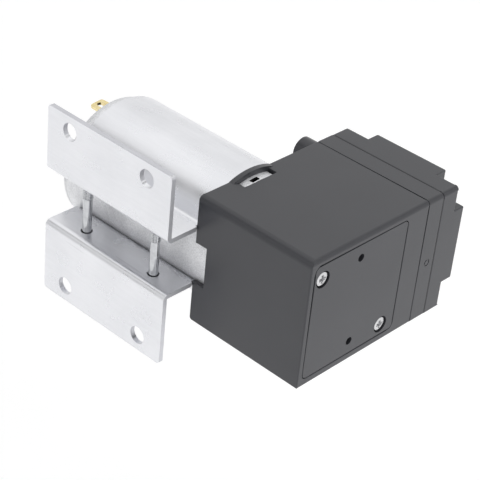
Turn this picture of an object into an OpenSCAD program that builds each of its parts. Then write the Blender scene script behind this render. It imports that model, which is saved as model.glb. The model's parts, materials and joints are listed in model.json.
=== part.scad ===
// Mini diaphragm vacuum pump with a sheet-metal motor clamp.
// Millimetres. X runs along the motor, Y from the mounting plates to the pump head, Z up.
// The origin is the centre of the four mounting holes, on the plates' outer face.

/* [Clamp bracket] */
// Thickness of the bent sheet
sheet_t = 1.5; // [1.2:0.1:1.8]
// Length of each mounting plate along X
plate_len = 48; // [46:1:50]
// Height of the plates' outer edges above and below the motor axis
plate_reach = 29.8; // [29:0.2:31]
// Rear end of the band round the motor along X
band_rear_x = -26; // [-27:0.5:-25]
// Rounding of the plates' free corners
plate_corner_r = 1.2; // [0.8:0.1:1.6]
// Mounting hole spacing along X
hole_pitch_x = 30; // [26:1:34]
// Mounting hole spacing along Z
hole_pitch_z = 50; // [49:0.5:51]
// Mounting hole diameter
mount_hole_d = 5.3; // [4.5:0.1:5.5]
// Underside of the upper ear above the motor axis
upper_ear_z = 9.1; // [8.5:0.1:9.6]
// Top face of the lower ear below the motor axis
lower_ear_z = 7.1; // [6.8:0.05:7.4]
// Outer bend radius between an ear and its plate
plate_bend_r = 2.0; // [1.9:0.1:2.2]
// Inner bend radius between an ear and the band
ear_bend_r = 1.5; // [1:0.1:2]

/* [Clamp screws] */
// Spacing of the two clamp screws along X
clamp_pitch = 27; // [25:0.5:29]
// Middle of the two clamp screws along X
clamp_mid_x = 1; // [0:0.25:2]
// Distance of the clamp screws from the plates' outer face
clamp_screw_y = 5.2; // [5:0.1:5.6]
// Clamp screw thread diameter
clamp_thread_d = 3.0; // [2.5:0.1:3]
// Clamp screw plain shank diameter
clamp_shank_d = 2.7; // [2.2:0.1:2.8]
// Clearance hole diameter in both ears
clamp_hole_d = 3.4; // [3.2:0.1:3.8]
// Height of the plain shank above the lower ear
clamp_plain_len = 10.7; // [9:0.1:12]
// Screw head diameter
clamp_head_d = 5.4; // [5:0.1:5.6]
// Screw head height
clamp_head_h = 2.0; // [1.6:0.1:2.4]
// Nut width across flats
nut_flats = 5.5; // [5:0.1:5.6]
// Nut height
nut_h = 2.4; // [2:0.1:3]
// Thread pitch
thread_pitch = 0.5; // [0.4:0.05:0.6]

/* [Motor] */
// Distance of the motor axis from the plates' outer face
axis_y = 30; // [29.8:0.1:30.5]
// Motor can diameter
can_d = 37.7; // [37.3:0.1:37.8]
// Motor can wall
can_wall = 1.2; // [1:0.1:1.4]
// Rear end of the can along X
can_rear_x = -30; // [-31:0.1:-29.4]
// Rounding of the can's rear end
can_round = 1; // [0.8:0.1:1.2]
// Rounding of the can's front end
can_front_round = 0.4; // [0.3:0.05:0.6]
// Bearing boss diameter on the can's front
boss_d = 13; // [12:0.5:14]
// Bearing boss height
boss_h = 3; // [2.5:0.1:3.4]
// Distance between the two motor mounting screws
motor_screw_pitch = 25; // [24:0.5:26]
// Vent slot width round the can
vent_w = 3.3; // [3:0.1:5]
// Vent slot length along X
vent_len = 1.6; // [1:0.1:1.9]
// Shaft diameter
shaft_d = 3.17; // [3:0.01:3.2]
// Air gap between the magnets and the armature core
air_gap = 0.53; // [0.4:0.01:0.9]
// Armature core length
core_len = 24; // [20:1:26]
// Magnet thickness
magnet_t = 3.1; // [2.5:0.1:3.1]
// Commutator diameter
commutator_d = 10; // [9:0.5:11]
// Angle of the terminal tabs from the vertical
terminal_turn = 6; // [0:1:12]
// Inset of the terminal tabs from the can's inner wall
terminal_inset = 2.25; // [2:0.05:2.8]
// Reach of the terminal tabs behind the end cap
terminal_reach = 6.6; // [5:0.2:8]
// Width of the terminal tabs
terminal_w = 4.8; // [4:0.2:5]

/* [Crankcase] */
// Rear face of the pump body along X
body_rear_x = 23.4; // [23.3:0.1:23.7]
// Front face of the pump body along X
body_front_x = 63.5; // [63:0.5:65]
// Near face of the pump body along Y
body_near_y = 11; // [10.6:0.1:11]
// First seam, crankcase to valve block
seam1_y = 57.5; // [57.3:0.1:58]
// Half height of the crankcase
body_half_h = 19.7; // [19.5:0.1:20.2]
// Step down of the underside at each seam
seam_step = 0.1; // [0.1:0.05:0.3]
// Width of the shadow groove along the first seam
seam_groove_w = 0.2; // [0.15:0.05:0.3]
// Depth of the shadow groove along the first seam
seam_groove_depth = 0.4; // [0.2:0.1:0.6]
// Crankcase wall thickness
case_wall = 3; // [2.5:0.1:3.2]
// Depth of the motor seat in the rear face
motor_seat = 4.3; // [3.9:0.1:4.7]
// Thickness of the wall the motor is screwed to
motor_wall = 3.5; // [3.2:0.1:3.8]
// Thickness of the arch collar round the motor
collar_t = 1.5; // [1.3:0.1:1.7]
// Height of the collar above the top face
collar_rise = 1.5; // [1.2:0.1:1.8]
// Width of the window over the motor's vent slot
window_w = 12.2; // [10:0.2:14]
// Height of the notch in the near side wall
notch_h = 12.6; // [12:0.2:13.4]
// Rounding of the top edge at the near face
near_edge_r = 2.2; // [2:0.1:2.5]
// Rounding of the bottom edge at the near face
near_low_r = 0.4; // [0.3:0.1:0.6]
// Rounding of the top edge at the front face
front_edge_r = 1.3; // [1.1:0.1:1.5]
// Rounding of the lower and upright edges at the front face
front_low_r = 0.5; // [0.4:0.1:0.7]
// Rounding of the rear near upright edge
rear_edge_r = 0.6; // [0.4:0.1:0.8]
// Rounding of the bottom edge at the rear face
rear_low_r = 1.8; // [1.4:0.1:2]

/* [Cover plate] */
// Cover thickness
cover_t = 3; // [2.6:0.1:3.2]
// Near edge of the cover along Y
cover_near_y = 12.8; // [12.6:0.1:13]
// Far edge of the cover along Y
cover_far_y = 49.1; // [48.8:0.1:49.4]
// Half height of the cover
cover_half_h = 17.4; // [17.2:0.1:17.6]
// Gap round the cover
cover_gap = 0.25; // [0.15:0.05:0.4]
// Rounding of the cover's corners
cover_corner_r = 1.5; // [1:0.25:2]
// Cover screw head diameter
cover_head_d = 4.3; // [4.1:0.1:4.4]
// Counterbore diameter round the cover screw heads
cover_bore_d = 5.0; // [4.8:0.1:5.2]
// Cover screw thread diameter
cover_screw_d = 2; // [1.6:0.1:2.2]
// Diameter of the two small blind holes
blind_hole_d = 2.3; // [1.6:0.1:2.6]

/* [Pump head] */
// Thickness of the valve block
valve_block_t = 6.2; // [6:0.1:6.4]
// Thickness of the gasket
gasket_t = 0.3; // [0.2:0.05:0.4]
// Inset of the gasket from the body's faces
gasket_inset = 0.1; // [0.1:0.05:0.3]
// Far face of the head cover at its corners
head_corner_y = 70.2; // [70:0.1:70.6]
// Far face of the raised cross
head_cross_y = 74.4; // [74.2:0.1:75.2]
// Width of the cross's upright bar along X
cross_w = 24.6; // [24:0.2:25.4]
// Height of the cross's level bar along Z
cross_h = 23.6; // [22:0.2:24]
// Hose nozzle outer diameter
nozzle_d = 7.8; // [7.2:0.1:8]
// Hose nozzle bore diameter
nozzle_bore_d = 4; // [3:0.1:4.2]
// Length of the hose nozzles behind the head
nozzle_len = 14.5; // [12:0.5:18]
// Distance of each nozzle from the motor's level
nozzle_z = 6.5; // [6.2:0.1:6.7]
// Distance of the nozzles from the plates' outer face
nozzle_y = 69; // [68.8:0.1:69.6]
// Head screw thread diameter
head_screw_d = 3; // [2.6:0.1:3]
// Head screw length under its head
head_screw_len = 19; // [17:0.5:19.5]
// Inset of the head screws from the body's faces
head_screw_inset = 3.9; // [3.8:0.05:4.1]

/* [Crank drive] */
// Throw of the eccentric
crank_throw = 1.5; // [1:0.1:1.5]
// Ball bearing outer diameter
bearing_od = 16; // [15.8:0.1:16.2]
// Ball bearing inner diameter
bearing_id = 8; // [7.9:0.05:8.1]
// Ball bearing width
bearing_w = 5; // [4.6:0.1:5]
// Number of bearing balls
ball_count = 8; // [6:1:8]
// Ball diameter
ball_d = 2.3; // [2.1:0.05:2.3]
// Counterweight radius
weight_r = 9; // [8:0.2:9.2]
// Outer radius of the rod's ring
rod_ring_r = 10.5; // [10:0.1:11]
// Diaphragm clamping radius
diaphragm_r = 15; // [14.6:0.1:15]
// Pumping chamber radius
chamber_r = 12; // [11.8:0.1:12.2]
// Diaphragm thickness
diaphragm_t = 1.2; // [1:0.1:1.3]
// Radius of the retainer plate and of the rod's seat under the diaphragm
retainer_r = 7; // [6.5:0.1:7.2]
// Thickness of the retainer plate
retainer_t = 1.2; // [1:0.1:1.3]

/* [Valves] */
// Distance of each valve from the middle of the chamber
valve_z = 5.5; // [5.3:0.1:5.7]
// Valve flap length
flap_len = 8.6; // [8:0.1:9]
// Valve flap width
flap_w = 6; // [5.4:0.1:6]
// Valve flap thickness
flap_t = 0.5; // [0.3:0.05:0.5]
// Port diameter
port_d = 3.2; // [2.6:0.1:3.4]

/* [Clearances] */
// Radial running clearance of turning and rolling fits
run_gap = 0.04; // [0.02:0.01:0.08]
// Radial clearance of parts seated in each other
seat_gap = 0.02; // [0.01:0.01:0.05]
// Gap between a valve flap and its seat
valve_gap = 0.1; // [0.05:0.05:0.15]

/* [Hidden] */
fine = 96;
cut = 0.5;

silver = [0.86, 0.87, 0.89];
steel = [0.62, 0.63, 0.65];
dark = [0.2, 0.2, 0.21];
black = [0.09, 0.09, 0.1];
brass = [0.8, 0.68, 0.3];
copper = [0.72, 0.42, 0.24];
rubber = [0.13, 0.13, 0.14];

// Motor and band
can_r = can_d / 2;
can_inner_r = can_r - can_wall;
band_in_r = can_r + seat_gap;
band_out_r = band_in_r + sheet_t;
plate_x0 = -plate_len / 2;
band_front_x = body_rear_x - seat_gap;
body_clear = 0.3;
upper_ear_top = upper_ear_z + sheet_t;
lower_ear_low = lower_ear_z + sheet_t;
clamp_thread_len = lower_ear_z + upper_ear_top + nut_h + 1 - clamp_plain_len;
can_front_x = body_rear_x + motor_seat;
boss_front_x = can_front_x + boss_h;
lip = 0.6;
endcap_t = 3;
endcap_x0 = can_rear_x + lip;
endcap_x1 = endcap_x0 + endcap_t;
rear_boss_r = 6;
rear_boss_x0 = endcap_x0 - 2.2;
sleeve_r = 4;
sleeve_len = 5.6;
rear_sleeve_x0 = rear_boss_x0 + lip;
rear_boss_x1 = rear_sleeve_x0 + sleeve_len;
front_sleeve_len = 4;
front_sleeve_x1 = boss_front_x - 0.3;
front_sleeve_x0 = front_sleeve_x1 - front_sleeve_len;
shaft_r = shaft_d / 2;
hub_bore_r = shaft_r + seat_gap;
core_x0 = -7;
core_x1 = core_x0 + core_len;
magnet_r = can_inner_r - seat_gap;
core_r = magnet_r - magnet_t - air_gap;
magnet_x0 = core_x0 - 2;
magnet_x1 = core_x1 + 2;
pole_count = 5;
slot_r = 3.2;
slot_at = core_r * 0.68;
end_turn_t = 3;
end_turn_over = 0.4;
commutator_r = commutator_d / 2;
commutator_x0 = rear_boss_x1 + 1;
commutator_x1 = core_x0 - end_turn_t - 0.5;
brush_x = (commutator_x0 + commutator_x1) / 2;
brush_w = 5;
brush_len = 6;
brush_r0 = commutator_r + run_gap;
arm_t = 0.5;
arm_r = brush_r0 + brush_len;
terminal_t = 0.8;
terminal_round = 1;
terminal_slot_r = 0.9;
terminal_r = can_inner_r - terminal_inset;
vent_x0 = body_rear_x + collar_t + 0.3;
motor_screw_r = 1.2;
motor_head_r = 2.6;
motor_head_h = 1.8;

// Pump body
wall_x1 = can_front_x + motor_wall;
cover_x0 = body_front_x - cover_t;
body_mid_x = (body_rear_x + body_front_x) / 2;
rim_deck_t = 5;
room_near_y = body_near_y + case_wall + 0.3;
room_far_y = seam1_y - rim_deck_t;
room_half_h = body_half_h - case_wall - 0.6;
mouth_far_y = cover_far_y - 1.5;
rod_bay_half_h = retainer_r + 3;
rod_bay_wall = 5;
post = 6.2;
collar_r = body_half_h + collar_rise;
window_depth = 3.85;
notch_depth = 4;
notch_mid_z = -1;
cover_screws_at = [[cover_near_y + 3.1, cover_half_h - 4.5], [cover_far_y - 5.4, 3.4 - cover_half_h]];
blind_y = 30.6;
blind_z = cover_half_h - 4.1;
blind_depth = 2;
cover_head_h = 1.5;
cover_head_sunk = 0.1;
cover_screw_len = 8;

// Head
block_far_y = seam1_y + valve_block_t;
gasket_far_y = block_far_y + gasket_t;
block_low = body_half_h + seam_step;
head_low = body_half_h + 2 * seam_step;
head_screw_x = [body_rear_x + head_screw_inset, body_front_x - head_screw_inset];
head_screw_z = body_half_h - head_screw_inset;
head_head_r = 2.75;
head_head_h = 1.8;
head_clear = 0.25;
cell_x0 = body_mid_x - 7.5;
cell_x1 = body_mid_x + 7.5;
cell_z0 = 1.4;
cell_z1 = 10;
cell_far_y = head_corner_y + 1;
nozzle_x0 = body_rear_x - nozzle_len;

// Crank drive, drawn with the rod at its far point from the head
pin_y = axis_y - crank_throw;
pin_r = bearing_id / 2 - seat_gap;
bearing_x0 = body_mid_x - bearing_w / 2;
bearing_x1 = body_mid_x + bearing_w / 2;
race_r = (bearing_od + bearing_id) / 4;
race_half = 0.9;
groove_r = ball_d / 2 + run_gap;
hub_r = 6.5;
hub_x0 = wall_x1 + 2.3;
shoulder_x0 = bearing_x0 - 0.5;
shaft_x0 = rear_sleeve_x0;
shaft_x1 = bearing_x1 - 0.3;
set_screw_x = hub_x0 + 3.6;
set_screw_r = 1.5;
rod_bore_r = bearing_od / 2 + seat_gap;
rod_stem_w = 7;
rim_y0 = seam1_y - diaphragm_t;
disc_y0 = rim_y0 - crank_throw;
disc_y1 = disc_y0 + diaphragm_t;
retainer_y1 = disc_y1 + retainer_t;
rod_seat_t = 2.2;
retainer_screw_len = 9;
retainer_screw_r = 1.5;
retainer_head_r = 2.65;
retainer_head_h = 1;
retainer_head_gap = 0.05;
chamber_roof_y = retainer_y1 + 2 * crank_throw + 0.5;

// Valves
flap_root_x = body_mid_x - flap_len / 2;
flap_slack = 0.35;
inlet_seat_y = chamber_roof_y + 1.5;
outlet_seat_y = block_far_y - 1.2;

// A round bar along X, on the motor axis unless moved
module bar_x(x0, x1, r, y = axis_y, z = 0, fn = fine) {
    translate([x0, y, z]) rotate([0, 90, 0]) cylinder(h = x1 - x0, r = r, $fn = fn);
}

// A round bar along Y
module bar_y(x, z, y0, y1, r, fn = fine) {
    translate([x, y0, z]) rotate([-90, 0, 0]) cylinder(h = y1 - y0, r = r, $fn = fn);
}

// A round bar along Z
module bar_z(x, y, z0, z1, r, fn = fine) {
    translate([x, y, z0]) cylinder(h = z1 - z0, r = r, $fn = fn);
}

// A box between two corners
module block(low, high) {
    translate(low) cube(high - low);
}

// A profile in the Y-Z plane pulled along X
module pull_x(x0, x1) {
    translate([x0, 0, 0]) rotate([90, 0, 90]) linear_extrude(x1 - x0) children();
}

// A turned profile of radius and X, on the motor axis unless moved
module turn_x(y = axis_y) {
    translate([0, y, 0]) rotate([0, 90, 0]) rotate_extrude($fn = fine) children();
}

// The corner left over outside a rounded edge, in the first quadrant from the corner
module edge_waste(r) {
    difference() {
        translate([-cut, -cut]) square(r + cut);
        translate([r, r]) circle(r, $fn = fine);
    }
}

// Pan head with a cross recess, its seat at the origin and its top towards +Z
module cross_pan_head(r, h, slot_w) {
    crown = h * 0.35;
    difference() {
        union() {
            cylinder(h = h - crown, r = r, $fn = fine);
            translate([0, 0, h - crown]) cylinder(h = crown, r1 = r, r2 = r * 0.72, $fn = fine);
        }
        for (turn = [0, 90]) rotate([0, 0, turn])
            translate([-r * 0.6, -slot_w / 2, h * 0.45]) cube([r * 1.2, slot_w, h]);
    }
}

// Threaded rod with plain rings for its thread, from the origin along Z
module ringed_thread(r, len, pitch) {
    depth = pitch * 0.5;
    count = floor(len / pitch);
    ridges = [for (i = [0:count - 1]) each [[r - depth, i * pitch], [r, (i + 0.5) * pitch]]];
    rotate_extrude($fn = 48)
        polygon(concat([[0, 0]], ridges, [[r - depth, count * pitch], [0, count * pitch]]));
}

// Centre of the bend between an ear and the band, for an ear whose outer face is at height z
function bend_at(z) = [
    axis_y - sqrt(pow(band_out_r + ear_bend_r, 2) - pow(z + ear_bend_r, 2)),
    z + ear_bend_r
];

// The part of the Y-Z plane, seen from the motor axis, that lies between the two ear bends
module between_bends(upper_z, lower_z) {
    upper = bend_at(upper_z);
    lower = bend_at(lower_z);
    far = 3;
    polygon([[axis_y, 0], [axis_y + far * (upper[0] - axis_y), far * upper[1]],
        [-far * band_out_r, 0], [axis_y + far * (lower[0] - axis_y), -far * lower[1]]]);
}

// One ear and plate in the Y-Z plane, for an ear above the axis; the other ear lies below it
module ear_outline(face_z, other_z) {
    bend = bend_at(face_z);
    inner = face_z - sheet_t;
    difference() {
        union() {
            translate([0, inner]) square([bend[0], sheet_t]);
            translate([0, inner]) square([sheet_t, plate_reach - inner]);
        }
        translate([0, inner]) edge_waste(plate_bend_r);
    }
    intersection() {
        difference() {
            translate(bend) circle(ear_bend_r + sheet_t, $fn = fine);
            translate(bend) circle(ear_bend_r, $fn = fine);
        }
        between_bends(face_z, other_z);
        translate([bend[0], 0]) square([band_out_r, bend[1]]);
    }
}

// One plate and the flat of its ear in the Y-Z plane, for an ear above the axis
module plate_outline(face_z) {
    inner = face_z - sheet_t;
    difference() {
        union() {
            translate([0, inner]) square([sheet_t, plate_reach - inner]);
            translate([0, inner]) square([min(bend_at(face_z)[0], body_near_y - body_clear), sheet_t]);
        }
        translate([0, inner]) edge_waste(plate_bend_r);
    }
}

// The band round the motor in the Y-Z plane, open between the two ears
module band_outline() {
    difference() {
        translate([axis_y, 0]) circle(band_out_r, $fn = fine);
        translate([axis_y, 0]) circle(band_in_r, $fn = fine);
        between_bends(upper_ear_top, lower_ear_low);
    }
}

// What is cut from a plate's corner to round it; sx and sz point from the corner into the plate
module plate_corner_waste(x, z, sx, sz) {
    translate([x, -cut, z]) rotate([-90, 0, 0]) linear_extrude(sheet_t + 2 * cut)
        mirror([sx < 0 ? 1 : 0, 0]) mirror([0, sz > 0 ? 1 : 0]) edge_waste(plate_corner_r);
}

module clamp_band() color(silver) difference() {
    union() {
        pull_x(band_rear_x, band_front_x) band_outline();
        pull_x(plate_x0, band_front_x) {
            ear_outline(upper_ear_top, lower_ear_low);
            mirror([0, 1]) ear_outline(lower_ear_low, upper_ear_top);
        }
        pull_x(plate_x0, plate_x0 + plate_len) {
            plate_outline(upper_ear_top);
            mirror([0, 1]) plate_outline(lower_ear_low);
        }
    }
    for (x = [-1, 1], z = [-1, 1])
        bar_y(x * hole_pitch_x / 2, z * hole_pitch_z / 2, -cut, sheet_t + cut, mount_hole_d / 2);
    for (x = [-1, 1])
        bar_z(clamp_mid_x + x * clamp_pitch / 2, clamp_screw_y, -lower_ear_low - cut,
            upper_ear_top + cut, clamp_hole_d / 2);
    for (z = [-1, 1]) {
        plate_corner_waste(plate_x0, z * plate_reach, 1, -z);
        plate_corner_waste(plate_x0 + plate_len, z * plate_reach, -1, -z);
    }
}

module clamp_screws() color(steel) for (x = [-1, 1])
    translate([clamp_mid_x + x * clamp_pitch / 2, clamp_screw_y, -lower_ear_low]) {
        rotate([180, 0, 0]) cross_pan_head(clamp_head_d / 2, clamp_head_h, 0.7);
        cylinder(h = sheet_t + clamp_plain_len, r = clamp_shank_d / 2, $fn = fine);
        translate([0, 0, sheet_t + clamp_plain_len])
            ringed_thread(clamp_thread_d / 2, clamp_thread_len, thread_pitch);
    }

module clamp_nuts() color(steel) for (x = [-1, 1])
    translate([clamp_mid_x + x * clamp_pitch / 2, clamp_screw_y, upper_ear_top]) difference() {
        cylinder(h = nut_h, r = nut_flats / sqrt(3), $fn = 6);
        translate([0, 0, -cut])
            cylinder(h = nut_h + 2 * cut, r = clamp_thread_d / 2 + seat_gap, $fn = fine);
    }

// Outside of the can as radius and X, with both ends rounded by arcs
function can_outline() = concat(
    [[0, can_rear_x]],
    [for (a = [0:15:90]) [can_r - can_round * (1 - sin(a)), can_rear_x + can_round * (1 - cos(a))]],
    [for (a = [0:15:90])
        [can_r - can_front_round * (1 - cos(a)), can_front_x - can_front_round * (1 - sin(a))]],
    [[0, can_front_x]]
);

module motor_can() color(silver) difference() {
    union() {
        turn_x() polygon(can_outline());
        bar_x(can_front_x - can_wall, boss_front_x, boss_d / 2);
    }
    bar_x(endcap_x0, can_front_x - can_wall, can_inner_r);
    bar_x(can_rear_x - cut, endcap_x0 + cut, can_inner_r - 1);
    bar_x(can_front_x - 2 * can_wall, boss_front_x + cut, sleeve_r + seat_gap);
    for (z = [-1, 1]) {
        bar_x(can_front_x - can_wall - cut, can_front_x + cut, motor_screw_r + 0.05,
            z = z * motor_screw_pitch / 2);
        block([vent_x0, axis_y - vent_w / 2, z > 0 ? can_inner_r - 2 : -can_r - cut],
            [vent_x0 + vent_len, axis_y + vent_w / 2, z > 0 ? can_r + cut : 2 - can_inner_r]);
    }
}

module at_terminal(side) {
    translate([0, axis_y, 0]) rotate([side > 0 ? terminal_turn : 180 + terminal_turn, 0, 0]) children();
}

module motor_endcap() color(black) difference() {
    union() {
        bar_x(endcap_x0, endcap_x1, can_inner_r - seat_gap);
        bar_x(rear_boss_x0, rear_boss_x1, rear_boss_r);
    }
    bar_x(rear_sleeve_x0, rear_boss_x1 + cut, sleeve_r + seat_gap);
    bar_x(rear_boss_x0 - cut, rear_boss_x1, shaft_r + 0.5);
    for (side = [-1, 1]) at_terminal(side)
        block([endcap_x0 - cut, -terminal_w / 2 - seat_gap, terminal_r - terminal_t / 2 - seat_gap],
            [endcap_x1 + cut, terminal_w / 2 + seat_gap, terminal_r + terminal_t / 2 + seat_gap]);
}

module terminals() color(brass) for (side = [-1, 1]) at_terminal(side) {
    x0 = endcap_x0 - terminal_reach;
    half = terminal_w / 2 - terminal_round;
    slot_x = [x0 + terminal_w / 2 - 0.6, x0 + terminal_w / 2 + 0.8];
    translate([0, 0, terminal_r - terminal_t / 2]) linear_extrude(terminal_t) difference() {
        union() {
            translate([x0 + terminal_round, -terminal_w / 2])
                square([endcap_x1 + 0.6 - x0 - terminal_round, terminal_w]);
            translate([x0, -half]) square([terminal_w, 2 * half]);
            for (y = [-half, half]) translate([x0 + terminal_round, y]) circle(terminal_round, $fn = 48);
        }
        translate([slot_x[0], -terminal_slot_r]) square([slot_x[1] - slot_x[0], 2 * terminal_slot_r]);
        for (x = slot_x) translate([x, 0]) circle(terminal_slot_r, $fn = 48);
    }
}

module brushes() color([0.16, 0.16, 0.17]) for (side = [-1, 1]) at_terminal(side) difference() {
    block([brush_x - brush_w / 2, -brush_w / 2, brush_r0 - 1], [brush_x + brush_w / 2, brush_w / 2, arm_r]);
    bar_x(brush_x - brush_w, brush_x + brush_w, brush_r0, y = 0);
}

module brush_arms() color(brass) for (side = [-1, 1]) at_terminal(side) {
    block([endcap_x1, -terminal_w / 2, arm_r], [brush_x + brush_w / 2, terminal_w / 2, arm_r + arm_t]);
    block([endcap_x1, -terminal_w / 2, arm_r + arm_t],
        [endcap_x1 + arm_t, terminal_w / 2, terminal_r - terminal_t / 2]);
}

module sleeve(x0, x1) color(brass) difference() {
    bar_x(x0, x1, sleeve_r);
    bar_x(x0 - cut, x1 + cut, shaft_r + run_gap);
}

module rear_bearing() sleeve(rear_sleeve_x0, rear_boss_x1);

module front_bearing() sleeve(front_sleeve_x0, front_sleeve_x1);

module magnets() color(dark) for (side = [-1, 1]) difference() {
    bar_x(magnet_x0, magnet_x1, magnet_r);
    bar_x(magnet_x0 - cut, magnet_x1 + cut, magnet_r - magnet_t);
    translate([0, axis_y, 0]) rotate([side > 0 ? 0 : 180, 0, 0]) pull_x(magnet_x0 - cut, magnet_x1 + cut)
        polygon([[0, 0], [-2 * can_r, can_r], [-2 * can_r, -2 * can_r], [2 * can_r, -2 * can_r],
            [2 * can_r, can_r]]);
}

module motor_mount_screws() color(steel) for (z = [-1, 1])
    translate([wall_x1, axis_y, z * motor_screw_pitch / 2]) {
        rotate([0, 90, 0]) cross_pan_head(motor_head_r, motor_head_h, motor_screw_r / 2);
        rotate([0, -90, 0]) cylinder(h = motor_wall + can_wall, r = motor_screw_r, $fn = fine);
    }

module motor_shaft() color(steel) bar_x(shaft_x0, shaft_x1, shaft_r);

module armature_core() color(steel) difference() {
    bar_x(core_x0, core_x1, core_r);
    bar_x(core_x0 - cut, core_x1 + cut, hub_bore_r);
    for (i = [0:pole_count - 1]) translate([0, axis_y, 0]) rotate([i * 360 / pole_count, 0, 0]) {
        bar_x(core_x0 - cut, core_x1 + cut, slot_r, y = 0, z = slot_at);
        block([core_x0 - cut, -0.9, slot_at], [core_x1 + cut, 0.9, core_r + cut]);
    }
}

module windings() color(copper) {
    wire_r = slot_r - seat_gap;
    for (i = [0:pole_count - 1]) translate([0, axis_y, 0]) rotate([i * 360 / pole_count, 0, 0])
        bar_x(core_x0 - end_turn_t / 2, core_x1 + end_turn_t / 2, wire_r, y = 0, z = slot_at);
    for (x0 = [core_x0 - end_turn_t, core_x1]) difference() {
        bar_x(x0, x0 + end_turn_t, slot_at + wire_r + end_turn_over);
        bar_x(x0 - cut, x0 + end_turn_t + cut, slot_at - wire_r - end_turn_over);
    }
}

module commutator() color(copper) difference() {
    bar_x(commutator_x0, commutator_x1, commutator_r);
    bar_x(commutator_x0 - cut, commutator_x1 + cut, hub_bore_r);
    for (i = [0:pole_count - 1]) translate([0, axis_y, 0]) rotate([(i + 0.5) * 360 / pole_count, 0, 0])
        block([commutator_x0 - cut, -0.2, commutator_r - 1], [commutator_x1 + cut, 0.2, commutator_r + cut]);
}

module shaft_washers() color(dark) for (x0 = [rear_boss_x1 + 0.3, front_sleeve_x0 - 1]) difference() {
    bar_x(x0, x0 + 0.6, sleeve_r - 1);
    bar_x(x0 - cut, x0 + 0.6 + cut, hub_bore_r);
}

module eccentric() color(brass) difference() {
    union() {
        bar_x(hub_x0, shoulder_x0, hub_r);
        bar_x(shoulder_x0, bearing_x0, pin_r + 0.8, y = pin_y);
        bar_x(bearing_x0, bearing_x1 + 0.4, pin_r, y = pin_y);
        intersection() {
            bar_x(hub_x0, shoulder_x0 - 2, weight_r);
            block([hub_x0, axis_y, -weight_r - cut],
                [shoulder_x0 - 2, axis_y + weight_r + cut, weight_r + cut]);
        }
    }
    bar_x(hub_x0 - cut, bearing_x1 + 1, hub_bore_r);
    bar_y(set_screw_x, 0, axis_y - hub_r - cut, axis_y, set_screw_r);
}

module eccentric_set_screw() color(steel)
    bar_y(set_screw_x, 0, axis_y - hub_r + 0.2, axis_y - shaft_r - seat_gap, set_screw_r - seat_gap);

// Half section of a bearing ring as radius and X, with the ball groove taken out
module ring_section(r0, r1) {
    difference() {
        translate([r0, bearing_x0]) square([r1 - r0, bearing_w]);
        translate([race_r, body_mid_x]) circle(groove_r, $fn = fine);
    }
}

module bearing_inner_ring() color(steel)
    turn_x(pin_y) ring_section(bearing_id / 2, race_r - race_half);

module bearing_outer_ring() color(steel)
    turn_x(pin_y) ring_section(race_r + race_half, bearing_od / 2);

module bearing_balls() color(silver) for (i = [0:ball_count - 1])
    translate([body_mid_x, pin_y, 0]) rotate([i * 360 / ball_count, 0, 0])
        translate([0, 0, race_r]) sphere(r = ball_d / 2, $fn = 48);

module connecting_rod() color(silver) difference() {
    union() {
        bar_x(bearing_x0, bearing_x1, rod_ring_r, y = pin_y);
        block([bearing_x0, pin_y, -rod_stem_w / 2], [bearing_x1, disc_y0 - rod_seat_t, rod_stem_w / 2]);
        bar_y(body_mid_x, 0, disc_y0 - rod_seat_t, disc_y0, retainer_r);
    }
    bar_x(bearing_x0 - cut, bearing_x1 + cut, rod_bore_r, y = pin_y);
    bar_y(body_mid_x, 0, retainer_y1 - retainer_screw_len - 1, disc_y0 + cut, retainer_screw_r + seat_gap);
}

// Height of the diaphragm's lower face above the retained disc, as a smooth step of the radius
function roll_y(r) = let (t = (r - retainer_r) / (chamber_r - retainer_r))
    disc_y0 + (rim_y0 - disc_y0) * (3 * t * t - 2 * t * t * t) - 0.7 * sin(180 * t);

module diaphragm() color(rubber) {
    steps = 10;
    roll = [for (i = [0:steps]) let (r = retainer_r + (chamber_r - retainer_r) * i / steps) [r, roll_y(r)]];
    lower = concat([[retainer_screw_r + 0.1, disc_y0]], roll, [[diaphragm_r, rim_y0]]);
    upper = [for (i = [len(lower) - 1:-1:0]) lower[i] + [0, diaphragm_t]];
    translate([body_mid_x, 0, 0]) rotate([-90, 0, 0]) rotate_extrude($fn = fine)
        polygon(concat(lower, upper));
}

module diaphragm_retainer() color(silver) difference() {
    bar_y(body_mid_x, 0, disc_y1, retainer_y1, retainer_r);
    bar_y(body_mid_x, 0, disc_y1 - cut, retainer_y1 + cut, retainer_screw_r + seat_gap);
    retainer_head(retainer_head_gap);
}

// The countersunk head of the retainer's screw, grown by a gap
module retainer_head(gap) {
    translate([body_mid_x, retainer_y1, 0]) rotate([90, 0, 0])
        cylinder(h = retainer_head_h, r1 = retainer_head_r + gap,
            r2 = retainer_head_r - retainer_head_h + gap, $fn = fine);
}

module retainer_screw() color(steel) {
    bar_y(body_mid_x, 0, retainer_y1 - retainer_screw_len, retainer_y1 - retainer_head_h + 0.1,
        retainer_screw_r);
    retainer_head(0);
}

// The body's long box with its edges rounded, between two Y values, its underside at -low;
// the inset draws its four sides in
module body_box(y0, y1, low, inset = 0) {
    x0 = body_rear_x + inset;
    x1 = body_front_x - inset;
    z0 = inset - low;
    z1 = body_half_h - inset;
    long = y1 - y0 + 2 * cut;
    difference() {
        block([x0, y0, z0], [x1, y1, z1]);
        translate([x1, y0 - cut, z1]) rotate([-90, 180, 0]) mirror([0, 1]) linear_extrude(long)
            edge_waste(front_edge_r);
        translate([x1, y0 - cut, z0]) rotate([-90, 180, 0]) linear_extrude(long) edge_waste(front_low_r);
        translate([x0, y1 + cut, z0]) rotate([90, 0, 0]) linear_extrude(long) edge_waste(rear_low_r);
    }
}

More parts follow.
